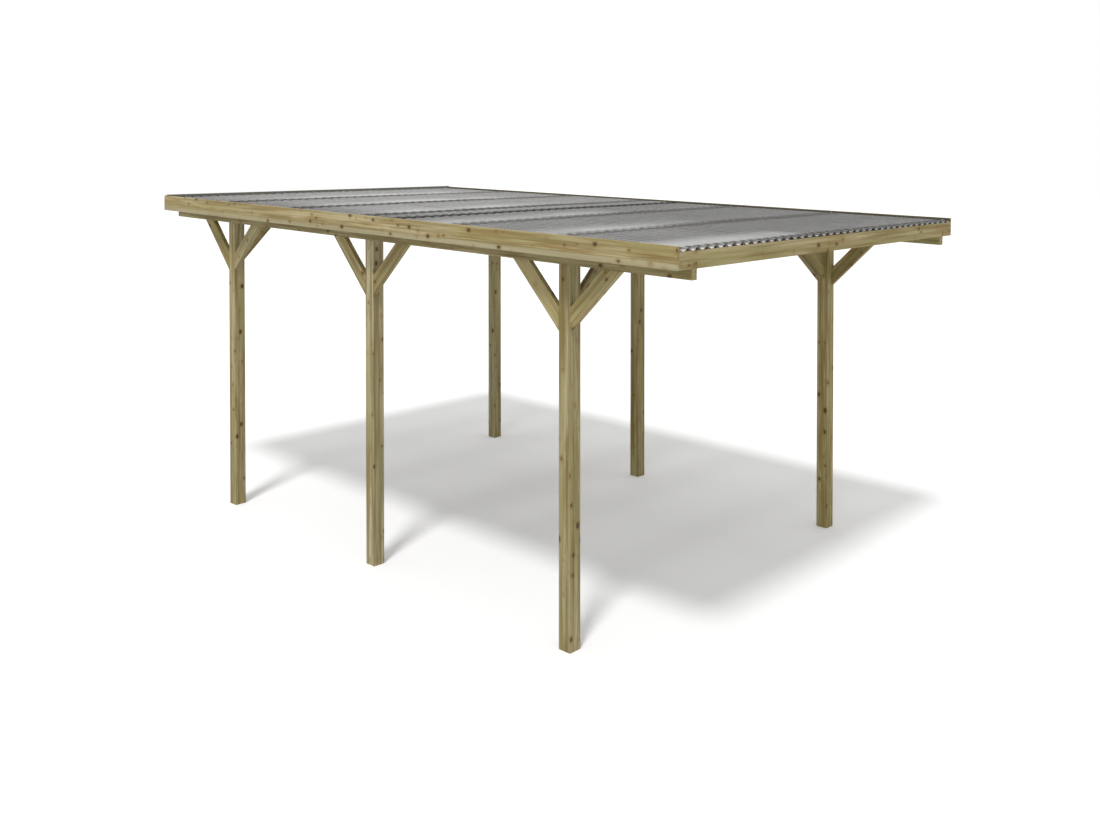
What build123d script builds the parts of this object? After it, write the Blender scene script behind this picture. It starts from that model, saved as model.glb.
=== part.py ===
"""A flat-roofed timber carport for one car, in pressure-treated pine.

Six square posts carry two long beams, which sit in rebates in the posts' outer halves.
Seven rafters are notched over the beams and run across the roof. Boards close the rafter
ends along both sides, and a slightly higher one closes the rear end. Every post is braced
along its beam, and the four corner posts are also braced across, up to the rafter above
them. Two rows of corrugated plastic sheets lie on the rafters, and the whole roof falls a
little towards the front, so that rain runs off.

X runs across the carport, Y along it from the front to the rear, and Z up. The origin is
the middle of the footprint, on the ground. All sizes are in millimetres.
"""
from build123d import *
import math
import os

os.makedirs("parts", exist_ok=True)

# The roof as a whole
roof_width = 3215           # over the outer faces of the side boards
roof_length = 5540          # from the front end to the rear end of the side boards
roof_fall = 97              # how much lower the front end is than the rear end
underside_height = 2325     # ground to the rafters' underside, halfway along

# The timbers
post_side = 90              # square section of a post
side_overhang = 128.5       # from the posts' outer faces to a side board's outer face
end_overhang = 907          # from the middle of an end post to the roof's end
beam_thickness = 45
beam_depth = 95
beam_drop = 59              # how far a beam hangs below the rafters' underside
beam_end_gap = 3            # from each end of a beam to the end of the roof
rafter_thickness = 45
rafter_depth = 95
rafter_spaces = 2           # spaces between rafters from one post to the next
notch_gap = 0.5             # play on each side of a beam in a rafter's notch
board_thickness = 18
board_depth = 125
rear_board_rise = 8         # how far the rear board stands above the side boards
brace_thickness = 35
brace_depth = 95
brace_reach = 380           # from a post's face to the far edge of a brace's head
arris = 2                   # eased long edges of the planed timber

# The roof sheets
sheet_thickness = 1.2
wave_depth = 18             # from the lowest to the highest point of a sheet
half_waves = 77             # arcs across the whole roof, troughs at both edges
half_waves_lapped = 2       # arcs that two neighbouring sheets share
sheets_across = 3
sheet_edge_gap = 15         # from a side board to the outermost sheet's edge
sheet_gap = 0.3             # air between a sheet and what it lies on
lap_front = -335            # where the rear row's front edge lies, from the middle of the roof
lap_length = 355            # how far the rear row reaches over the front row

# Worked out from the sizes above
slope = math.asin(roof_fall / roof_length)
post_line = roof_width / 2 - side_overhang
post_spacing = roof_length / 2 - end_overhang
post_middle = post_line - post_side / 2
beam_middle = post_line - beam_thickness / 2
brace_middle = post_line - brace_thickness / 2
rafter_length = roof_width - 2 * board_thickness
end_rafter = (roof_length - rafter_thickness) / 2
posts_along = {"front": -post_spacing, "middle": 0, "rear": post_spacing}
sides = {"left": -1, "right": 1}
up = Vector(0, 0, 1)

# The side boards lean with the roof, so their top corners reach furthest at the front end.
# This small shift keeps the origin in the middle of the footprint.
roof_shift = board_depth * math.sin(slope) / 2
rafter_underside = Plane(
    origin=(0, roof_shift, underside_height),
    x_dir=(1, 0, 0),
    z_dir=(0, -math.sin(slope), math.cos(slope)),
)
beam_underside = rafter_underside.offset(-beam_drop)
rafter_top = rafter_underside.offset(rafter_depth)
down_the_roof = Axis((0, 0, 0), -rafter_underside.y_dir)


def along_roof(y):
    """How far up the sloping roof the ground point y lies."""
    return (y - roof_shift) / math.cos(slope)


def height_at(plane, y):
    """The height of a sloping plane above the ground point y."""
    return plane.origin.Z + (y - plane.origin.Y) * math.tan(slope)


def finish(part, name):
    """Label a finished piece and write it to its file."""
    part.label = name
    export_step(part, f"parts/{name}.step")


def make_post(side, y):
    """A square timber whose inner half reaches the rafter and whose outer half is cut down
    to carry the beam, flush with the post's outer face."""
    with BuildPart() as post:
        with BuildSketch(Plane.XY):
            with Locations((side * post_middle, y)):
                Rectangle(post_side, post_side)
        extrude(amount=underside_height + roof_fall)
        chamfer(post.edges().filter_by(Axis.Z), length=arris)
        split(bisect_by=rafter_underside, keep=Keep.BOTTOM)
        with BuildSketch(beam_underside):
            with Locations((side * beam_middle, along_roof(y))):
                Rectangle(beam_thickness, 2 * post_side)
        extrude(amount=2 * beam_drop, mode=Mode.SUBTRACT)
    return post.part


def make_beam(side):
    """One long timber over the posts of a side, stopping just short of the roof's ends."""
    with BuildPart() as beam:
        with BuildSketch(beam_underside):
            with Locations((side * beam_middle, 0)):
                Rectangle(beam_thickness, roof_length - 2 * beam_end_gap)
        extrude(amount=beam_depth)
        chamfer(beam.edges().filter_by(down_the_roof), length=arris)
    return beam.part


def make_cross_timber(place, thickness, depth):
    """A timber across the roof, notched on its underside over the two beams."""
    with BuildPart() as timber:
        with BuildSketch(rafter_underside):
            with Locations((0, place)):
                Rectangle(rafter_length, thickness)
        extrude(amount=depth)
        chamfer(timber.edges().filter_by(Axis.X), length=arris)
        with BuildSketch(rafter_underside):
            with Locations((-beam_middle, place), (beam_middle, place)):
                Rectangle(beam_thickness + 2 * notch_gap, 2 * thickness)
        extrude(amount=beam_depth - beam_drop, mode=Mode.SUBTRACT)
    return timber.part


def make_board(side):
    """The board that closes the rafter ends along one side of the roof."""
    with BuildPart() as board:
        with BuildSketch(rafter_underside):
            with Locations((side * (roof_width - board_thickness) / 2, 0)):
                Rectangle(board_thickness, roof_length)
        extrude(amount=board_depth)
        chamfer(board.edges().filter_by(down_the_roof), length=arris)
    return board.part


def make_brace(corner, along, carried):
    """A brace at 45 degrees between a post's face and the underside of what it carries.

    corner is the point where the post's face meets that underside, along points from there
    along the underside towards the brace's head, and carried is the plane of the underside.
    """
    brace_plane = Plane(origin=corner, x_dir=along, z_dir=along.cross(up))
    post_face = Plane(origin=corner, z_dir=Vector(along.X, along.Y, 0))
    upright_depth = brace_depth * math.sqrt(2)
    before_foot = -brace_depth
    past_head = 2 * brace_reach
    with BuildPart() as brace:
        with BuildSketch(brace_plane):
            with BuildLine():
                Polyline(
                    (before_foot, before_foot - brace_reach),
                    (past_head, past_head - brace_reach),
                    (past_head, past_head - brace_reach + upright_depth),
                    (before_foot, before_foot - brace_reach + upright_depth),
                    close=True,
                )
            make_face()
        extrude(amount=brace_thickness / 2, both=True)
        slanting = Axis((0, 0, 0), brace_plane.x_dir + brace_plane.y_dir)
        chamfer(brace.edges().filter_by(slanting), length=arris)
        split(bisect_by=carried, keep=Keep.BOTTOM)
        split(bisect_by=post_face, keep=Keep.TOP)
    return brace.part


# The wave of the sheets is a chain of equal arcs, by turns a trough and a crest. The arcs are
# numbered across the whole roof, so that lapped sheets nest in each other.
half_wave = (rafter_length - 2 * sheet_edge_gap) / half_waves
rise = (wave_depth - sheet_thickness) / 2
arc_radius = (half_wave ** 2 / 4 + rise ** 2) / (2 * rise)
flank_angle = math.asin(half_wave / 2 / arc_radius)
sheet_level = sheet_thickness / math.cos(flank_angle) + sheet_gap
arcs_per_sheet = (half_waves + (sheets_across - 1) * half_waves_lapped) // sheets_across


def wave_sign(number):
    """1 for an arc that is a crest and -1 for a trough."""
    return 1 if number % 2 else -1


def arc_start(number, face):
    """Where an arc begins on the sheet's upper face (1) or lower face (-1)."""
    middle = (number - half_waves / 2) * half_wave
    sideways = -wave_sign(number) * math.sin(flank_angle) * sheet_thickness / 2
    upwards = math.cos(flank_angle) * sheet_thickness / 2
    return (middle + face * sideways, face * upwards)


def arc_top(number, face):
    """The highest point of a crest, or the lowest of a trough."""
    middle = (number + 0.5 - half_waves / 2) * half_wave
    return (middle, wave_sign(number) * rise + face * sheet_thickness / 2)


def make_sheet(column, rear_end, length, level, tilt):
    """One corrugated sheet.

    Its upper end lies rear_end up the roof and level steps above the rafters. Towards the
    front it leaves the rafters by the angle tilt.
    """
    first = column * (arcs_per_sheet - half_waves_lapped)
    last = first + arcs_per_sheet
    clear = sheet_gap + wave_depth / 2 + level * sheet_level
    end_plane = Plane(
        origin=rafter_top.from_local_coords((0, rear_end, clear)),
        x_dir=(1, 0, 0),
        z_dir=rafter_top.z_dir * math.sin(tilt) - rafter_top.y_dir * math.cos(tilt),
    )
    with BuildPart() as sheet:
        with BuildSketch(end_plane):
            with BuildLine():
                for face in (1, -1):
                    for number in range(first, last):
                        ThreePointArc(
                            arc_start(number, face),
                            arc_top(number, face),
                            arc_start(number + 1, face),
                        )
                for number in (first, last):
                    Line(arc_start(number, 1), arc_start(number, -1))
            make_face()
        extrude(amount=length)
    return sheet.part


for side_name, side in sides.items():
    for place_name, y in posts_along.items():
        finish(make_post(side, y), f"post_{side_name}_{place_name}")
    finish(make_beam(side), f"beam_{side_name}")
    finish(make_board(side), f"side_board_{side_name}")

# A rafter stands over each pair of posts, others divide the bays between them evenly, and
# one lies at each end of the roof. At the rear it stands against the rear board.
rafter_pitch = post_spacing / rafter_spaces
rafter_places = [along_roof(step * rafter_pitch) for step in range(-rafter_spaces, rafter_spaces + 1)]
rafter_places = [-end_rafter, *rafter_places, end_rafter - board_thickness]
for number, place in enumerate(rafter_places, start=1):
    finish(make_cross_timber(place, rafter_thickness, rafter_depth), f"rafter_{number}")
rear_board_place = (roof_length - board_thickness) / 2
rear_board_depth = board_depth + rear_board_rise
finish(make_cross_timber(rear_board_place, board_thickness, rear_board_depth), "rear_board")

# Two braces along the beam at every post, under the beam.
for side_name, side in sides.items():
    for place_name, y in posts_along.items():
        for way_name, way in (("forward", -1), ("backward", 1)):
            face_y = y + way * post_side / 2
            corner = Vector(side * brace_middle, face_y, height_at(beam_underside, face_y))
            brace = make_brace(corner, rafter_underside.y_dir * way, beam_underside)
            finish(brace, f"brace_{side_name}_{place_name}_{way_name}")

# One brace across the carport at each corner post, under the rafter.
for side_name, side in sides.items():
    for place_name in ("front", "rear"):
        y = posts_along[place_name]
        corner = Vector(side * (post_line - post_side), y, height_at(rafter_underside, y))
        brace = make_brace(corner, Vector(-side, 0, 0), rafter_underside)
        finish(brace, f"brace_{side_name}_{place_name}_inward")

# The front row of sheets lies on the rafters. The rear row laps over it, so it rests on the
# front row at its lower end and on the rear rafter at its upper end. In each row the middle
# sheet lies over its neighbours.
lap_rear = lap_front + lap_length
sheet_rear = roof_length / 2 - board_thickness - sheet_gap
rear_tilt = math.atan(2 * sheet_level / (sheet_rear - lap_rear))
for column in range(sheets_across):
    level = column % 2
    front_sheet = make_sheet(column, lap_rear, lap_rear + roof_length / 2, level, 0)
    finish(front_sheet, f"roof_sheet_front_{column + 1}")
    rear_sheet = make_sheet(column, sheet_rear, sheet_rear - lap_front, level, rear_tilt)
    finish(rear_sheet, f"roof_sheet_rear_{column + 1}")
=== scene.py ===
# %% [markdown]
# A timber carport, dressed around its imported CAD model. The CAD gives every timber and sheet its
# shape and place. This script gives them their pine and plastic, adds the small screws that the
# CAD leaves out, and sets up the light, the floor and the camera. Everything is in metres, with
# +Y running from the low front end to the high rear end.

import math
import random

import bmesh
import bpy
from mathutils import Matrix, Vector


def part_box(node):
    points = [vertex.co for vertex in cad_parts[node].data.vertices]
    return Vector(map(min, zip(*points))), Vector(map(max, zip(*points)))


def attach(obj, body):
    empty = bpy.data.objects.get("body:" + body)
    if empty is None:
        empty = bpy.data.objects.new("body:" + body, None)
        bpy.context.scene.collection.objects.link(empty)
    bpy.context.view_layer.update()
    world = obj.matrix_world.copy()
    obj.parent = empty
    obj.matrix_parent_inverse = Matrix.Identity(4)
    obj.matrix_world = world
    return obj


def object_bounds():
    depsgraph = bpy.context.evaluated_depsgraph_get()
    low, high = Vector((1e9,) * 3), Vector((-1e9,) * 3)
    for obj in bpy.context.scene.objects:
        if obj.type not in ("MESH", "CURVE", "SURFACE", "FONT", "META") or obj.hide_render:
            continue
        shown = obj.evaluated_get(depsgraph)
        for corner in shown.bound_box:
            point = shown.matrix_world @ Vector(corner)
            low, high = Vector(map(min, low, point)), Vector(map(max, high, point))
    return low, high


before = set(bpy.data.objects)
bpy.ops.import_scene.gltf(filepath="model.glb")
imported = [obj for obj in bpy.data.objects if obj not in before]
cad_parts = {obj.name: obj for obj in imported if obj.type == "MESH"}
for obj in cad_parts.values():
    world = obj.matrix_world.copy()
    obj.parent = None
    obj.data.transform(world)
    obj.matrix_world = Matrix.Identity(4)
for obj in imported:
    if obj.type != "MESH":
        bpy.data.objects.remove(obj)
cad_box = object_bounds()
print("CAD box", [round(v, 3) for corner in cad_box for v in corner])

# %% [markdown]
# Materials are built from nodes. One function turns a colour as a painter writes it, a sRGB hex
# value, into the linear numbers that a shader wants. One small helper adds a node, sets it up
# and links it, so that each material reads as a list of steps.

# %% Helpers for materials
MM = 0.001


def colour(hex_value):
    """A sRGB hex colour as the four linear numbers of a colour socket."""
    channels = [int(hex_value[i:i + 2], 16) / 255 for i in (1, 3, 5)]
    linear = [c / 12.92 if c <= 0.04045 else ((c + 0.055) / 1.055) ** 2.4 for c in channels]
    return (*linear, 1.0)


def add(tree, kind, inputs=None, **settings):
    """A new node. inputs gives its sockets, each a number, a colour or another node's output."""
    node = tree.nodes.new("ShaderNode" + kind)
    for name, value in settings.items():
        setattr(node, name, value)
    for name, value in (inputs or {}).items():
        if isinstance(value, bpy.types.NodeSocket):
            tree.links.new(value, node.inputs[name])
        else:
            node.inputs[name].default_value = value
    return node


def new_material(name):
    """An empty node material, with its tree and its output node."""
    material = bpy.data.materials.new(name)
    material.use_nodes = True
    tree = material.node_tree
    tree.nodes.clear()
    return material, tree, tree.nodes.new("ShaderNodeOutputMaterial")


# %% [markdown]
# Pressure-treated pine. The salts of the bath leave planed pine pale olive, with golden and
# greenish patches, and the knots stay dark brown. A flat picture of wood would run round the
# corners wrongly, so the wood here is solid: growth rings are cylinders round a pith line that
# runs along the timber, and each face shows the cut through them, long streaks on the sides and
# rings on the ends. Knots are the cells of a 3-D pattern, and push the rings apart around them.
# The pattern is made once for each kind of timber and then copied for each piece, with a Mapping
# node that turns it along that piece's grain and gives it its own part of the tree.

# %% Pine
BOARD_THICKNESS = 18 * MM
RING = 7 * MM              # one year's growth, wide as in quick-grown pine
RING_STRAY = 50 * MM       # how far the rings stray from true cylinders
LATE_START, LATE_FULL, LATE_STRENGTH = 0.35, 0.95, 0.3     # late wood, in shares of a ring
KNOT_CELL = 66 * MM        # mean distance from one place for a knot to the next
KNOT_SQUEEZE = 0.7         # below 1 it draws the knots out along the grain
KNOT_CHANCE = 0.23         # how much a cell's own number takes off its knot
KNOT_CORE, KNOT_HALO = (0.16, 0.27), (0.18, 0.48)          # full until, and gone from, in cells
KNOT, RUST = "#4F3C1C", "#8A6C3C"
RESIN = 0.55               # how strongly the rust round a knot covers the wood
STRIP_SOFT = 6 * MM        # soft edge of the pale strip, and half the dark line's width
LINE_ABOVE = 7 * MM        # from the strip's edge up to the dark line
STRIP, LINE = 0.6, 0.5     # how much of the wood each of the two covers
INNER_DARK = 0.92                # how much the dark grey covers of a board's inner face
INNER_DARK_FULL, INNER_DARK_END = 0.4 * MM, 1 * MM                     # how far it comes round the edge
RELIEF = 0.4 * MM          # height of the grain that is felt
RELIEF_FELT = 0.35         # and how much of it shows
LATE_RELIEF = 2.3          # late wood stands out this much more than a fibre
SHEEN = (0.55, 0.78)       # roughness of the wood, from one streak to the next

# How long each kind of mark is along the grain, how wide across it, and how finely detailed. The
# fibres are drawn wider than real ones, which are too fine to show.
MARKS = {
    "wander": (900 * MM, 110 * MM, 3),
    "streak": (900 * MM, 18 * MM, 4),
    "fibre": (80 * MM, 1.5 * MM, 2),
    "patch": (1100 * MM, 80 * MM, 2),
    "heartwood": (560 * MM, 36 * MM, 3),
}
# Where in its noise a mark starts and is full, and how much it then covers.
COVER = {
    "patch": (0.42, 0.62, 0.8),
    "heartwood": (0.46, 0.64, 0.78),
    "streak": (0.44, 0.64, 0.62),
}


def pine(name, pale, dark, patch, brown, band=None, inward=None):
    """Solid pine, with x along the grain and y and z across it once it is in its place.

    band is the height and the colour of a pale strip along the lower edge. inward is for a
    board's darker inner face: the axis, the carport's outer face on it, and the dark colour.
    """
    material, tree, out = new_material(name)
    coords = add(tree, "TexCoord").outputs["Object"]
    place = add(tree, "Mapping", {"Vector": coords}, name="place")
    inside = place.outputs["Vector"]
    parts = add(tree, "SeparateXYZ", {"Vector": inside})

    # Each mark is a noise that is drawn out along the grain, moved on so that no two are alike.
    marks = {}
    for number, (mark, (length, width, detail)) in enumerate(MARKS.items()):
        drawn_out = add(tree, "Mapping", {"Vector": inside, "Location": (number, number, number),
                                          "Scale": (1 / length, 1 / width, 1 / width)})
        noise = add(tree, "TexNoise", {"Vector": drawn_out.outputs["Vector"], "Scale": 1,
                                       "Detail": detail, "Roughness": 0.55})
        marks[mark] = noise.outputs["Fac"]

    # Knots: ovals where the surface passes near a cell's middle. Each cell's own random number
    # makes its knot large, small or missing. The wood round a knot is rusty with resin.
    cells = add(tree, "Mapping", {"Vector": inside, "Scale": (KNOT_SQUEEZE, 1, 1)})
    voronoi = add(tree, "TexVoronoi", {"Vector": cells.outputs["Vector"], "Scale": 1 / KNOT_CELL,
                                       "Randomness": 0.95})
    chance = add(tree, "SeparateColor", {"Color": voronoi.outputs["Color"]})
    away = add(tree, "Math", {0: chance.outputs["Red"], 1: KNOT_CHANCE,
                              2: voronoi.outputs["Distance"]}, operation="MULTIPLY_ADD")
    core, halo = [
        add(tree, "MapRange", {"Value": away.outputs[0], "From Min": until, "From Max": gone,
                               "To Min": 1, "To Max": 0}, interpolation_type="SMOOTHSTEP")
        for until, gone in (KNOT_CORE, KNOT_HALO)]
    rusty = add(tree, "Math", {0: halo.outputs["Result"], 1: RESIN}, operation="MULTIPLY")

    # Growth rings: distance from the pith, unsteady along the grain, swollen round the knots.
    across = add(tree, "CombineXYZ", {"Y": parts.outputs["Y"], "Z": parts.outputs["Z"]})
    radius = add(tree, "VectorMath", {"Vector": across.outputs["Vector"]}, operation="LENGTH")
    bent = add(tree, "Math", {0: marks["wander"], 1: RING_STRAY, 2: radius.outputs["Value"]},
               operation="MULTIPLY_ADD")
    swollen = add(tree, "Math", {0: halo.outputs["Result"], 1: 2 * RING, 2: bent.outputs[0]},
                  operation="MULTIPLY_ADD")
    years = add(tree, "Math", {0: swollen.outputs[0], 1: RING}, operation="DIVIDE")
    season = add(tree, "Math", {0: years.outputs[0]}, operation="FRACT")
    late = add(tree, "MapRange", {"Value": season.outputs[0], "From Min": LATE_START,
                                  "From Max": LATE_FULL, "To Min": 0,
                                  "To Max": LATE_STRENGTH}, interpolation_type="SMOOTHSTEP")

    cover = {}
    for mark, (start, full, most) in COVER.items():
        amount = add(tree, "MapRange", {"Value": marks[mark], "From Min": start, "From Max": full,
                                        "To Min": 0, "To Max": most})
        cover[mark] = amount.outputs["Result"]
    layers = [(cover["patch"], patch), (cover["heartwood"], brown),
              (late.outputs["Result"], dark), (cover["streak"], dark)]
    if band:
        # A paler strip along the lower edge, and a dark line of late wood above it.
        height, tint = band
        strip = add(tree, "MapRange", {"Value": parts.outputs["Z"], "From Min": height,
                                       "From Max": height + STRIP_SOFT, "To Min": STRIP,
                                       "To Max": 0})
        above = add(tree, "Math", {0: parts.outputs["Z"], 1: -height - LINE_ABOVE},
                    operation="ADD")
        off = add(tree, "Math", {0: above.outputs[0]}, operation="ABSOLUTE")
        line = add(tree, "MapRange", {"Value": off.outputs[0], "From Max": STRIP_SOFT,
                                      "To Min": LINE, "To Max": 0})
        layers += [(strip.outputs["Result"], tint), (line.outputs["Result"], dark)]
    layers += [(rusty.outputs[0], RUST), (core.outputs["Result"], KNOT)]
    if inward:
        # The board's face against the sheets is coloured dark grey. It lies a board's
        # thickness inside the carport's outer face, on the axis that inward names.
        axis, outer, inner_tint = inward
        sideways = add(tree, "SeparateXYZ", {"Vector": coords})
        from_middle = add(tree, "Math", {0: sideways.outputs[axis]}, operation="ABSOLUTE")
        inner = outer - BOARD_THICKNESS
        darkened = add(tree, "MapRange", {"Value": from_middle.outputs[0],
                                      "From Min": inner + INNER_DARK_FULL,
                                      "From Max": inner + INNER_DARK_END, "To Min": INNER_DARK,
                                      "To Max": 0})
        layers.append((darkened.outputs["Result"], inner_tint))

    shade = colour(pale)
    for amount, tint in layers:
        covered = add(tree, "Mix", {"Factor": amount, 6: shade, 7: colour(tint)},
                      data_type="RGBA")
        shade = covered.outputs[2]
    tone = add(tree, "HueSaturation", {"Color": shade}, name="tone")

    relief = add(tree, "Math", {0: late.outputs["Result"], 1: LATE_RELIEF, 2: marks["fibre"]},
                 operation="MULTIPLY_ADD")
    bump = add(tree, "Bump", {"Strength": RELIEF_FELT, "Distance": RELIEF,
                              "Height": relief.outputs[0]})
    sheen = add(tree, "MapRange", {"Value": marks["streak"], "To Min": SHEEN[0],
                                   "To Max": SHEEN[1]})
    shader = add(tree, "BsdfPrincipled", {"Base Color": tone.outputs["Color"], "IOR": 1.5,
                                          "Roughness": sheen.outputs["Result"],
                                          "Normal": bump.outputs["Normal"]})
    tree.links.new(shader.outputs["BSDF"], out.inputs["Surface"])
    return material


kinds = {
    "post": pine("pine_post", "#BCB08A", "#6F6239", "#9E9665", "#87703F"),
    "beam": pine("pine_beam", "#B5A87F", "#665A34", "#978D5D", "#7E6839"),
    "rafter": pine("pine_rafter", "#BAAC87", "#6E6037", "#9A9361", "#8B7242"),
    "side_board": pine("pine_board", "#C0B28A", "#746539", "#A09561", "#8F7645",
                       band=(-33 * MM, "#A9A286"), inward=("X", cad_box[1].x, "#4B4A46")),
    "rear_board": pine("pine_rear_board", "#C0B28A", "#746539", "#A09561", "#8F7645",
                       inward=("Y", cad_box[1].y, "#7A7974")),
    "brace": pine("pine_brace", "#B5A980", "#6A5E36", "#99905F", "#846D3E"),
}
print("pine kinds", sorted(kinds))

# %% [markdown]
# Each timber is sawn from its own stretch of tree, so each gets a copy of its kind's pine. The
# grain always follows the length: up the posts, along the beams and side boards as they slope,
# across the roof in the rafters and the rear board, and at 45 degrees in the braces. The pith
# lies a little off the middle, by a seeded random amount, as in sawn stock where the heart is
# seldom centred. Each timber also has a tone of its own, and one post comes from paler wood than
# the rest.

# %% Put the pine on the timbers
random.seed(11)
TREE_LENGTH, PITH_OFF = 40, 22 * MM                # wood to cut from, and the pith's place
SATURATION, VALUE = (1.0, 1.16), (0.95, 1.05)      # how timbers differ in tone
PALER = {"post_left_middle": (0.95, 1.1)}          # the same two, for the paler post
ROOF_FALL, ROOF_LENGTH = 97 * MM, 5540 * MM
slope = math.asin(ROOF_FALL / ROOF_LENGTH)
down_the_length = Vector((0, math.cos(slope), math.sin(slope)))


def grain_of(name):
    """The direction of the grain of a timber, by its name."""
    if name.startswith("post"):
        return Vector((0, 0, 1))
    if name.startswith(("rafter", "rear_board")):
        return Vector((1, 0, 0))
    if name.startswith("brace"):
        side = -1 if "_left_" in name else 1
        leaning = {"forward": (0, -1, 1), "backward": (0, 1, 1), "inward": (-side, 0, 1)}
        return Vector(leaning[name.rsplit("_", 1)[1]]).normalized()
    return down_the_length


def give_pine(name, kind):
    """A copy of the kind's pine, turned along this timber's grain and moved to its place."""
    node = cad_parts[name]
    low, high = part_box(name)
    grain = grain_of(name)
    # The hint is any direction off the grain. Squared to it, it gives the turn its other axes.
    hint = Vector((0, 1, 0)) if grain.z > 0.99 else Vector((0, 0, 1))
    upper = (hint - grain * hint.dot(grain)).normalized()
    turn = Matrix((grain, upper.cross(grain), upper))
    # A side board's strip is set from the board's middle, so its pith isn't moved up or down.
    pith = Vector((random.uniform(0, TREE_LENGTH), random.uniform(-PITH_OFF, PITH_OFF),
                   0 if kind == "side_board" else random.uniform(-PITH_OFF, PITH_OFF)))
    material = kinds[kind].copy()
    material.name = f"pine_{name}"
    place = material.node_tree.nodes["place"]
    place.inputs["Rotation"].default_value = turn.to_euler()
    place.inputs["Location"].default_value = pith - turn @ ((low + high) / 2)
    tone = material.node_tree.nodes["tone"]
    saturation, value = random.uniform(*SATURATION), random.uniform(*VALUE)
    if name in PALER:
        saturation, value = PALER[name]
    tone.inputs["Saturation"].default_value = saturation
    tone.inputs["Value"].default_value = value
    node.data.materials.clear()
    node.data.materials.append(material)


timbers = 0
for name in sorted(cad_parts):
    for kind in kinds:
        if name.startswith(kind):
            give_pine(name, kind)
            timbers += 1
print("timbers dressed", timbers)

# %% [markdown]
# The roof sheets are smoke-tinted PVC, extruded flat and pressed into waves while warm. They let
# through part of the light, and their skin is glossy. The wall is a real solid 1.2 mm thick, so a
# ray meets two faces, and each face holds back part of what comes through. Where a sheet lies on
# a rafter no daylight comes up through it, and that shade is painted into its colour as a dark
# band. Just behind each rafter, glare from the sky is painted in pale, and at the lap between the
# two rows a painted shadow lies under the rear row's front edge. All of this is worked out from
# the place on the roof, which the evenly spaced rafters make easy.

# %% Where things lie on the roof
ROOF_WIDTH, SHEET_EDGE_GAP = 3215 * MM, 15 * MM
HALF_WAVES = 77                                    # a crest is one half wave, a trough the next
HALF_WAVE = (ROOF_WIDTH - 2 * BOARD_THICKNESS - 2 * SHEET_EDGE_GAP) / HALF_WAVES
RAFTER_SPACING = 931.5 * MM
LAP_FRONT = -335 * MM                              # the rear row's front edge
LAP_SHADOW_FROM = 22 * MM                            # middle of the painted shadow, ahead of that edge
TIMBER_HALF, TIMBER_SOFT = 58 * MM, 50 * MM        # the painted shade over a rafter, and its soft edge
BAND_SHIFT = 0.015                                 # how far it lies to the rear, in bays
PALE_SLANT, PALE_LEFT = 0.4, 600 * MM            # slant and place of the band where the pale layer is fullest
print("half wave", round(HALF_WAVE / MM, 2), "mm")


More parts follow.
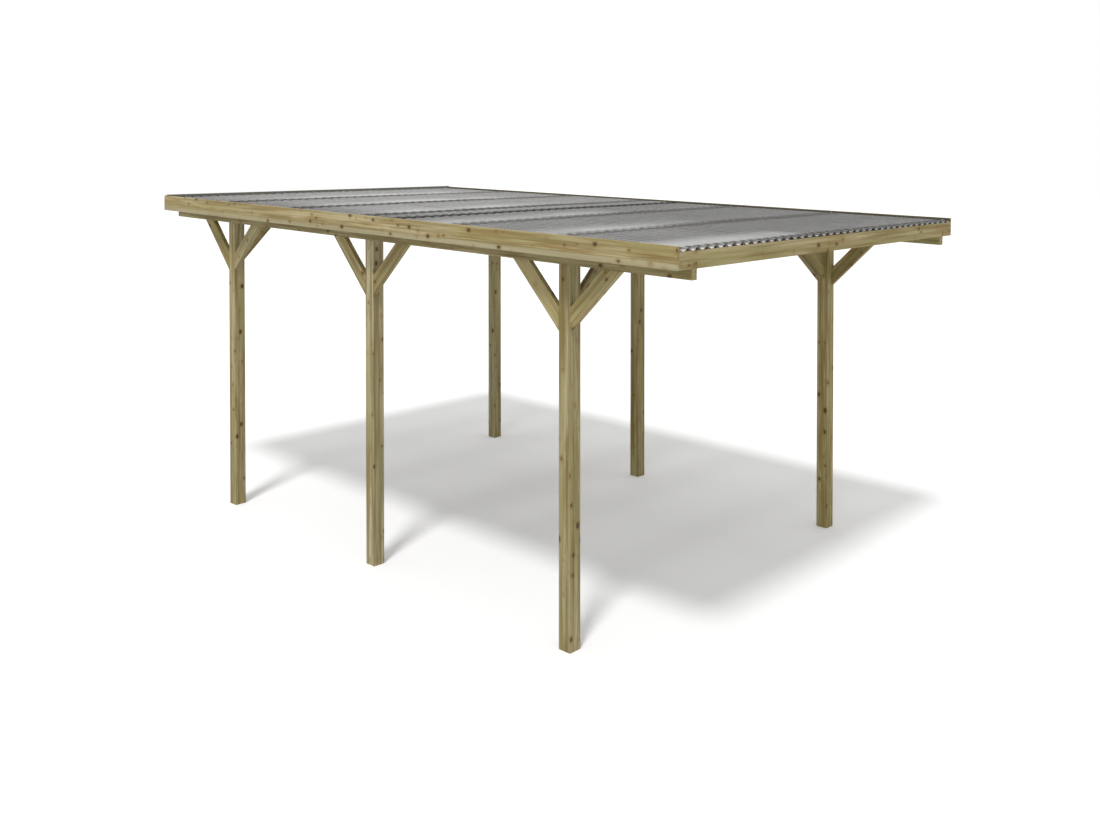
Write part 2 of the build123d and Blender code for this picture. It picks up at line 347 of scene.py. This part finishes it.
def roof_marks(tree, coords):
    """How much of each mark there is, from 0 to 1, at a place on the roof."""
    parts = add(tree, "SeparateXYZ", {"Vector": coords})
    x, y = parts.outputs["X"], parts.outputs["Y"]
    marks = {}

    bays = add(tree, "Math", {0: y, 1: 1 / RAFTER_SPACING, 2: -BAND_SHIFT},
               operation="MULTIPLY_ADD")
    behind = add(tree, "Math", {0: bays.outputs[0]}, operation="FRACT")
    nearest = add(tree, "Math", {0: bays.outputs[0], 1: 0.5}, operation="PINGPONG")
    # For each mark: the value that it follows, the two places on it between which the mark
    # changes, and how much there is of the mark at each.
    ranges = {
        "timber": (nearest.outputs[0], TIMBER_HALF / RAFTER_SPACING,
                   (TIMBER_HALF + TIMBER_SOFT) / RAFTER_SPACING, 1, 0),
        # Painted glare: the share of a bay just behind each rafter, which catches the sky most.
        "glare": (behind.outputs[0], 0.1, 0.52, 1, 0),
        "rear_row": (y, LAP_FRONT - 20 * MM, LAP_FRONT + 30 * MM, 0, 1),
    }

    # The lap: a painted shadow under the rear row's front edge, on both sides of that edge.
    from_lap = add(tree, "Math", {0: y, 1: -LAP_FRONT - LAP_SHADOW_FROM}, operation="ADD")
    off_lap = add(tree, "Math", {0: from_lap.outputs[0]}, operation="ABSOLUTE")
    ranges["lap"] = (off_lap.outputs[0], 40 * MM, 75 * MM, 1, 0)

    # A broad band that runs slantwise over the roof. The pale layer is full in it and fades to a
    # tenth away from it.
    slanted = add(tree, "Math", {0: y, 1: -PALE_SLANT, 2: x}, operation="MULTIPLY_ADD")
    beside = add(tree, "Math", {0: slanted.outputs[0], 1: PALE_LEFT}, operation="ADD")
    off_drift = add(tree, "Math", {0: beside.outputs[0]}, operation="ABSOLUTE")
    ranges["drift"] = (off_drift.outputs[0], 350 * MM, 1500 * MM, 1, 0.1)

    # The front edge, where painted light stands for the light that gets in under the crests, with
    # a painted highlight in each trough.
    turning = add(tree, "Math", {0: x, 1: math.pi / HALF_WAVE}, operation="MULTIPLY")
    wave = add(tree, "Math", {0: turning.outputs[0]}, operation="COSINE")
    ranges["trough"] = (wave.outputs[0], -0.2, 0.5, 0, 1)
    ranges["edge"] = (y, cad_box[0].y + 10 * MM, cad_box[0].y + 50 * MM, 1, 0)

    # The low end: a pale patch of painted glare left of the middle, and full painted shade over
    # the front rafter.
    ranges["low_end"] = (y, cad_box[0].y + 170 * MM, cad_box[0].y + 420 * MM, 1, 0)
    ranges["left_part"] = (x, -400 * MM, -150 * MM, 1, 0)
    ranges["far_left"] = (x, -1300 * MM, -500 * MM, 1, 0.42)

    # The painted shade over the rafters is stronger to the rear and to the left, and the rear row
    # is darker along its left side.
    ranges["band_rear"] = (y, -1500 * MM, 300 * MM, 0.56, 0.95)
    ranges["band_left"] = (x, 0, 1200 * MM, 1, 0.68)
    ranges["margin"] = (x, -1550 * MM, -950 * MM, 1, 0)

    for mark, (value, start, end, first, last) in ranges.items():
        amount = add(tree, "MapRange", {"Value": value, "From Min": start, "From Max": end,
                                        "To Min": first, "To Max": last},
                     interpolation_type="SMOOTHSTEP")
        marks[mark] = amount.outputs["Result"]
    return marks


# %% [markdown]
# The sheet's colour is built up in layers: the tinted plastic, which is paler in the rear row,
# dust in streaks down the fall, a pale layer in cloudy patches with painted glare behind each
# rafter and at the low end, a darker strip along the left side of the rear row, painted shade at
# the timbers and painted shadow at the lap. The front edge comes last, with its painted light and
# the painted highlights in its troughs. Each layer is a Mix node, whose factor says how much of
# it there is at that place.

# %% Smoke-grey sheet
OPACITY, OPACITY_ON_TIMBER = 0.66, 0.95            # what one face of the wall holds back
DUST_STREAK = (110 * MM, 1100 * MM)                # width, and length down the fall
CLOUD = 620 * MM                                   # size of the cloudy patches
CLOUD_PLACE = (2.2, 0.6, 0)                        # which part of the clouds lies on the roof
THIN, THICK = 0.55, 0.9                            # how much of the pale layer they leave
PALE_EVERYWHERE, GLARE_BEHIND_RAFTER = 0.15, 0.66
STREAKS, LOW_END_GLARE, LEFT_DARKER = 0.35, 0.34, 0.6          # how much each covers at its strongest
# Strengths of the painted rafter shade, the painted lap shadow and the painted light at the front
# edge. Below them, the pale of the painted glare, and the dark grey used for the painted shade and
# for the rear row's left side.
TIMBER_DARK, LAP_DARK, RIM = 0.92, 0.83, 0.85
GLARE_PALE, DARK_GREY = "#E6E6E4", "#2B2926"
CLEAN, DUSTY, JOINT_DULLS = 0.16, 0.32, 0.5         # roughness, and what it gains where shade is painted over rafters and lap


def smoke_sheet():
    """Glossy smoke-grey PVC: darker in front, paler behind, with dust, painted glare and shade."""
    material, tree, out = new_material("smoke_grey_pvc_sheet")
    coords = add(tree, "TexCoord").outputs["Object"]
    marks = roof_marks(tree, coords)
    width, length = DUST_STREAK
    drawn_out = add(tree, "Mapping", {"Vector": coords,
                                      "Scale": (1 / width, 1 / length, 1 / width)})
    dust = add(tree, "TexNoise", {"Vector": drawn_out.outputs["Vector"], "Scale": 1,
                                  "Detail": 3, "Roughness": 0.55})
    cloudy = add(tree, "Mapping", {"Vector": coords, "Location": CLOUD_PLACE,
                                   "Scale": (1 / CLOUD, 1 / CLOUD, 1 / CLOUD)})
    clouds = add(tree, "TexNoise", {"Vector": cloudy.outputs["Vector"], "Scale": 1,
                                    "Detail": 1})
    cloud = add(tree, "MapRange", {"Value": clouds.outputs["Fac"], "From Min": 0.42,
                                   "From Max": 0.62, "To Min": THIN, "To Max": THICK},
                interpolation_type="SMOOTHSTEP")
    streaks = add(tree, "MapRange", {"Value": dust.outputs["Fac"], "From Min": 0.4,
                                     "From Max": 0.65, "To Min": 0, "To Max": STREAKS})
    # The pale layer: painted glare behind each rafter, over a faint paleness everywhere, in cloudy
    # patches and within the slanting band.
    pale_share = add(tree, "Math", {0: marks["glare"], 1: GLARE_BEHIND_RAFTER, 2: PALE_EVERYWHERE},
                operation="MULTIPLY_ADD")
    clouded = add(tree, "Math", {0: pale_share.outputs[0], 1: cloud.outputs["Result"]},
                 operation="MULTIPLY")
    pale = add(tree, "Math", {0: clouded.outputs[0], 1: marks["drift"]}, operation="MULTIPLY")
    band = add(tree, "Math", {0: marks["band_rear"], 1: marks["band_left"]},
               operation="MULTIPLY")
    strong = add(tree, "Math", {0: band.outputs[0], 1: marks["low_end"]}, operation="MAXIMUM")
    # Painted shade over the rafters, where no daylight comes up through the sheet. It is at full
    # strength over the front rafter.
    rafter_shade = add(tree, "Math", {0: strong.outputs[0], 1: TIMBER_DARK}, operation="MULTIPLY")
    timber = add(tree, "Math", {0: marks["timber"], 1: rafter_shade.outputs[0]}, operation="MULTIPLY")
    # Painted shadow at the lap, near black.
    lap = add(tree, "Math", {0: marks["lap"], 1: LAP_DARK}, operation="MULTIPLY")
    # Painted light along the front edge, stronger to the far left, and a painted highlight in each
    # trough.
    edge_lit = add(tree, "Math", {0: marks["far_left"], 1: RIM}, operation="MULTIPLY")
    rim = add(tree, "Math", {0: marks["edge"], 1: edge_lit.outputs[0]}, operation="MULTIPLY")
    glint = add(tree, "Math", {0: rim.outputs[0], 1: marks["trough"]}, operation="MULTIPLY")
    # Painted glare at the low end, left of the middle.
    low_left = add(tree, "Math", {0: marks["low_end"], 1: marks["left_part"]},
                 operation="MULTIPLY")
    low_end_glare = add(tree, "Math", {0: low_left.outputs[0], 1: LOW_END_GLARE}, operation="MULTIPLY")
    # The rear row is darker along its left side.
    beside = add(tree, "Math", {0: marks["rear_row"], 1: marks["margin"]}, operation="MULTIPLY")
    left_darker = add(tree, "Math", {0: beside.outputs[0], 1: LEFT_DARKER}, operation="MULTIPLY")
    # The lap's near black is painted shadow, the rim's pale grey is painted light, and the glint's
    # white is a painted highlight.
    layers = (
        (marks["rear_row"], "#868582"), (streaks.outputs["Result"], "#84837F"),
        (pale.outputs[0], GLARE_PALE), (low_end_glare.outputs[0], GLARE_PALE),
        (left_darker.outputs[0], DARK_GREY), (timber.outputs[0], DARK_GREY),
        (lap.outputs[0], "#151413"), (rim.outputs[0], "#A3A29E"),
        (glint.outputs[0], "#F4F4F2"),
    )
    shade = colour("#605F5D")
    for amount, tint in layers:
        covered = add(tree, "Mix", {"Factor": amount, 6: shade, 7: colour(tint)},
                      data_type="RGBA")
        shade = covered.outputs[2]

    joint = add(tree, "Math", {0: marks["timber"], 1: marks["lap"]}, operation="MAXIMUM")
    dense = add(tree, "Math", {0: joint.outputs[0], 1: marks["edge"]}, operation="SUBTRACT",
                use_clamp=True)
    opacity = add(tree, "MapRange", {"Value": dense.outputs[0], "To Min": OPACITY,
                                     "To Max": OPACITY_ON_TIMBER})
    # Clean sheet is smooth, dust dulls it a little, and it is much duller where shade is painted
    # over the rafters and the lap.
    skin = add(tree, "MapRange", {"Value": dust.outputs["Fac"], "To Min": CLEAN,
                                  "To Max": DUSTY})
    dull = add(tree, "Math", {0: dense.outputs[0], 1: JOINT_DULLS, 2: skin.outputs["Result"]},
               operation="MULTIPLY_ADD")
    shader = add(tree, "BsdfPrincipled", {"Base Color": shade, "IOR": 1.5,
                                          "Roughness": dull.outputs[0],
                                          "Alpha": opacity.outputs["Result"]})
    tree.links.new(shader.outputs["BSDF"], out.inputs["Surface"])
    return material


sheet_material = smoke_sheet()
sheets = [name for name in sorted(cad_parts) if name.startswith("roof_sheet")]
for name in sheets:
    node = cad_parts[name]
    node.data.materials.clear()
    node.data.materials.append(sheet_material)
print("sheets dressed", len(sheets))

# %% [markdown]
# The screws are left out of the CAD, because they are small. The roofing screws hide under
# moulded caps in the colour of the sheet, and the wood screws show their zinc-plated heads. At
# this size both finishes come down to two close tones and a roughness that varies a little, so
# one function makes both from a noise.

# %% Materials of the fixings
CAP_GRAIN, ZINC_GRAIN = 4 * MM, 2.5 * MM
MOTTLE_DULLS = 0.08        # how far the roughness varies to each side


def fixing(name, darker, paler, grain, metallic, rough):
    """A mottled finish for small fixings, with its two tones and the size of its mottle."""
    material, tree, out = new_material(name)
    coords = add(tree, "TexCoord").outputs["Object"]
    mottle = add(tree, "TexNoise", {"Vector": coords, "Scale": 1 / grain})
    tint = add(tree, "Mix", {"Factor": mottle.outputs["Fac"], 6: colour(darker),
                             7: colour(paler)}, data_type="RGBA")
    roughness = add(tree, "MapRange", {"Value": mottle.outputs["Fac"],
                                       "To Min": rough - MOTTLE_DULLS,
                                       "To Max": rough + MOTTLE_DULLS})
    shader = add(tree, "BsdfPrincipled", {"Base Color": tint.outputs[2], "Metallic": metallic,
                                          "Roughness": roughness.outputs["Result"]})
    tree.links.new(shader.outputs["BSDF"], out.inputs["Surface"])
    return material


# Moulded PVC is smooth and slightly soft in its shine. Zinc plating is dull, with a fine mottle.
cap_plastic = fixing("smoke_grey_pvc_cap", "#5E5D5A", "#74736F", CAP_GRAIN, 0.0, 0.4)
zinc = fixing("zinc_plated_steel", "#8E8B7C", "#A9A695", ZINC_GRAIN, 1.0, 0.46)
print("fixings are of", cap_plastic.name, "and", zinc.name)

# %% [markdown]
# Each kind of fixing is one mesh, built from cones at their places, which keeps so many heads
# light. A cone is made along Z, and a matrix turns it to its direction and takes it to its
# place. The finished object itself stays at the origin, as the CAD's own nodes do.

# %% Helpers for fixings


def facing(point, direction):
    """A matrix that stands a piece made along +Z at point, pointing in direction."""
    return Matrix.Translation(point) @ direction.to_track_quat("Z", "Y").to_matrix().to_4x4()


def add_cone(bm, matrix, low_radius, high_radius, bottom, top, sides):
    """A closed cone or cylinder between two heights of the matrix's own Z."""
    bmesh.ops.create_cone(bm, cap_ends=True, segments=sides, radius1=low_radius,
                          radius2=high_radius, depth=top - bottom,
                          matrix=matrix @ Matrix.Translation((0, 0, (bottom + top) / 2)))


def finished(bm, name, material):
    """The bmesh as an object that rides on the carport."""
    bmesh.ops.recalc_face_normals(bm, faces=bm.faces)
    mesh = bpy.data.meshes.new(name)
    bm.to_mesh(mesh)
    bm.free()
    mesh.materials.append(material)
    piece = bpy.data.objects.new(name, mesh)
    bpy.context.scene.collection.objects.link(piece)
    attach(piece, "root")
    print(name, "faces", len(mesh.polygons))


# %% [markdown]
# A roofing screw sits on the crest of a wave, where rain doesn't stand: a round seal pressed on
# the sheet, with the cap on top. Its height could be worked out from the waves, but a ray
# dropped onto the sheets finds it just as well, and finds whichever sheet is on top at a lap.

# %% Roofing screws
SEAL_RADIUS, SEAL_HEIGHT = 10 * MM, 2 * MM
CAP_RADIUS, CAP_HEIGHT = 7 * MM, 4 * MM
SEAL_TAPER, CAP_TAPER, CAP_SIDES = 0.85, 0.6, 14
SEAL_SUNK = 0.5 * MM       # the seal is pressed this far into the crest
FIRST_CREST, WAVES_PER_SCREW = 3, 4

above = cad_box[1].z + 100 * MM
roof_screws = bmesh.new()
down = Vector((0, 0, -1))
count = 0
for number in range(1, 8):
    low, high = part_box(f"rafter_{number}")
    along = (low.y + high.y) / 2
    for crest in range(FIRST_CREST, HALF_WAVES, 2 * WAVES_PER_SCREW):
        across = (crest + 0.5 - HALF_WAVES / 2) * HALF_WAVE
        hits = [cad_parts[name].ray_cast(Vector((across, along, above)), down)
                for name in sheets]
        tops = [hit[1] for hit in hits if hit[0]]
        if tops:
            seat = facing(max(tops, key=lambda point: point.z), Vector((0, 0, 1)))
            add_cone(roof_screws, seat, SEAL_RADIUS, SEAL_RADIUS * SEAL_TAPER, -SEAL_SUNK,
                     SEAL_HEIGHT, CAP_SIDES)
            add_cone(roof_screws, seat, CAP_RADIUS, CAP_RADIUS * CAP_TAPER, SEAL_HEIGHT,
                     SEAL_HEIGHT + CAP_HEIGHT, CAP_SIDES)
            count += 1
finished(roof_screws, "roof_screw_caps", cap_plastic)
print("roofing screws", count)

# %% [markdown]
# The wood screws are countersunk: a shallow cone let into the wood, with only its face showing.
# Two go through each post's outer face into its beam, set apart so that the post doesn't split,
# and two through each end of a brace.

# %% Wood screws
HEAD_RADIUS, HEAD_DEPTH, HEAD_PROUD = 4.2 * MM, 4 * MM, 0.3 * MM
HEAD_TAPER, HEAD_SIDES = 0.4, 12
BEAM_SCREWS = ((-22 * MM, 20 * MM), (22 * MM, 42 * MM))    # along the beam, and up it


def wood_screw(bm, point, direction):
    """A countersunk head whose face lies just proud of the wood at point."""
    add_cone(bm, facing(point, direction), HEAD_RADIUS * HEAD_TAPER, HEAD_RADIUS,
             -HEAD_DEPTH, HEAD_PROUD, HEAD_SIDES)


beam_screws = bmesh.new()
for name in sorted(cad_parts):
    if name.startswith("post"):
        low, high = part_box(name)
        side = -1 if "_left_" in name else 1
        face = low.x if side < 0 else high.x
        beam_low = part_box("beam_left" if side < 0 else "beam_right")[0]
        middle = (low.y + high.y) / 2
        underside = beam_low.z + (middle - beam_low.y) * math.tan(slope)
        for along, height in BEAM_SCREWS:
            wood_screw(beam_screws, Vector((face, middle + along, underside + height)),
                       Vector((side, 0, 0)))
finished(beam_screws, "beam_screws", zinc)

# A brace is screwed through its slanting lower edge, twice at the foot and twice at the head.
SCREW_FROM_TIP, SCREW_APART = 48 * MM, 14 * MM
brace_screws = bmesh.new()
for name in sorted(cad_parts):
    if name.startswith("brace"):
        low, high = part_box(name)
        grain = grain_of(name)
        out_of_edge = Vector((grain.x, grain.y, 0)).normalized() - Vector((0, 0, 1))
        out_of_edge.normalize()
        sideways = grain.cross(out_of_edge).normalized()
        plan = Vector((grain.x, grain.y, 0)).normalized()
        middle = (low + high) / 2
        half = Vector((abs(plan.x) * (high.x - low.x), abs(plan.y) * (high.y - low.y), 0)) / 2
        foot = middle - plan * half.length
        foot.z = low.z
        head = middle + plan * half.length
        head.z = high.z
        for point in (foot + grain * SCREW_FROM_TIP, head - grain * SCREW_FROM_TIP):
            for way in (-1, 1):
                wood_screw(brace_screws, point + sideways * way * SCREW_APART / 2, out_of_edge)
finished(brace_screws, "brace_screws", zinc)

# %% [markdown]
# The floor is a plain pale plane that keeps the carport's shadow. The background is white, which
# comes from the floor's own colour and from the world as the camera sees it, and not from more
# light on the carport. The sun is low in strength and wide, so its shadow has a soft edge. Its
# direction is the one that the shadow on the floor shows.

# %% Floor, world and sun
FLOOR_HALF = 60
SUN_PATH = Vector((1165, 600, -2424)).normalized()
SKY = 0.6
SUN_STRENGTH = 1.6
SUN_WIDTH = math.radians(9)
FLOOR_LIFT = 0.12          # how much brighter than lit the floor is seen, to reach white


def seen_rays(tree):
    """1 for the rays that see the background, straight or in a gloss, and 0 for its light."""
    path = add(tree, "LightPath")
    glossy = add(tree, "Math", {0: path.outputs["Is Camera Ray"],
                                1: path.outputs["Is Glossy Ray"]}, operation="MAXIMUM")
    through = add(tree, "Math", {0: glossy.outputs[0], 1: path.outputs["Is Transmission Ray"]},
                  operation="MAXIMUM")
    return through.outputs[0]


def make_floor():
    """A wide plane that is seen white and keeps the carport's shadow."""
    mesh = bpy.data.meshes.new("floor")
    bm = bmesh.new()
    bmesh.ops.create_grid(bm, x_segments=1, y_segments=1, size=FLOOR_HALF)
    bm.to_mesh(mesh)
    bm.free()
    floor = bpy.data.objects.new("floor", mesh)
    bpy.context.scene.collection.objects.link(floor)
    material, tree, out = new_material("pale_floor")
    seen = seen_rays(tree)
    tone = add(tree, "Mix", {"Factor": seen, 6: colour("#E0E0DE"), 7: colour("#FFFFFF")},
               data_type="RGBA")
    shader = add(tree, "BsdfDiffuse", {"Color": tone.outputs[2]})
    lift = add(tree, "Math", {0: seen, 1: FLOOR_LIFT}, operation="MULTIPLY")
    glow = add(tree, "Emission", {"Strength": lift.outputs[0]})
    both = add(tree, "AddShader", {0: shader.outputs["BSDF"], 1: glow.outputs["Emission"]})
    tree.links.new(both.outputs["Shader"], out.inputs["Surface"])
    mesh.materials.append(material)


def make_world():
    """Even light from all round, behind a background that is seen white."""
    world = bpy.data.worlds.new("studio")
    bpy.context.scene.world = world
    world.use_nodes = True
    tree = world.node_tree
    tree.nodes.clear()
    level = add(tree, "MapRange", {"Value": seen_rays(tree), "To Min": SKY, "To Max": 1})
    sky = add(tree, "Background", {"Color": colour("#FFFFFF"),
                                   "Strength": level.outputs["Result"]})
    out = tree.nodes.new("ShaderNodeOutputWorld")
    tree.links.new(sky.outputs["Background"], out.inputs["Surface"])


def make_sun():
    """One soft sun, along the path that the shadow gives."""
    light = bpy.data.lights.new("sun", "SUN")
    light.energy = SUN_STRENGTH
    light.angle = SUN_WIDTH
    sun = bpy.data.objects.new("sun", light)
    sun.rotation_euler = SUN_PATH.to_track_quat("-Z", "Y").to_euler()
    bpy.context.scene.collection.objects.link(sun)


make_floor()
make_world()
make_sun()
print("floor, world and sun made")

# %% [markdown]
# The camera stands where the photograph was taken from and looks across the corner of the
# carport. The photograph itself is level, with its frame shifted down to hold the posts' feet.
# Here the camera looks down by one degree instead and shifts a little less, which moves the
# carport's edges in the picture by a third of a pixel on average and by two at the most.

# %% Camera
PHOTO_WIDTH, PHOTO_HEIGHT = 1100, 825
FOCAL_PIXELS = 1079.259
AXIS_ROW = 169.26          # the picture row that the lens points at
LOOK_ROUND = 0.79927       # radians from +Y towards +X
LOOK_DOWN = math.radians(1)
SENSOR = 36
CAMERA_PLACE = (-5.96016, -6.10726, 2.88759)

camera_data = bpy.data.cameras.new("camera")
camera_data.sensor_width = SENSOR
camera_data.lens = FOCAL_PIXELS * SENSOR / PHOTO_WIDTH
camera_data.shift_y = (AXIS_ROW - PHOTO_HEIGHT / 2) / PHOTO_WIDTH
camera = bpy.data.objects.new("camera", camera_data)
camera.location = CAMERA_PLACE
camera.rotation_euler = (math.pi / 2 - LOOK_DOWN, 0, -LOOK_ROUND)
bpy.context.scene.collection.objects.link(camera)
bpy.context.scene.camera = camera
bpy.context.scene.view_settings.view_transform = "Standard"
print("lens", round(camera_data.lens, 2), "shift", round(camera_data.shift_y, 4))
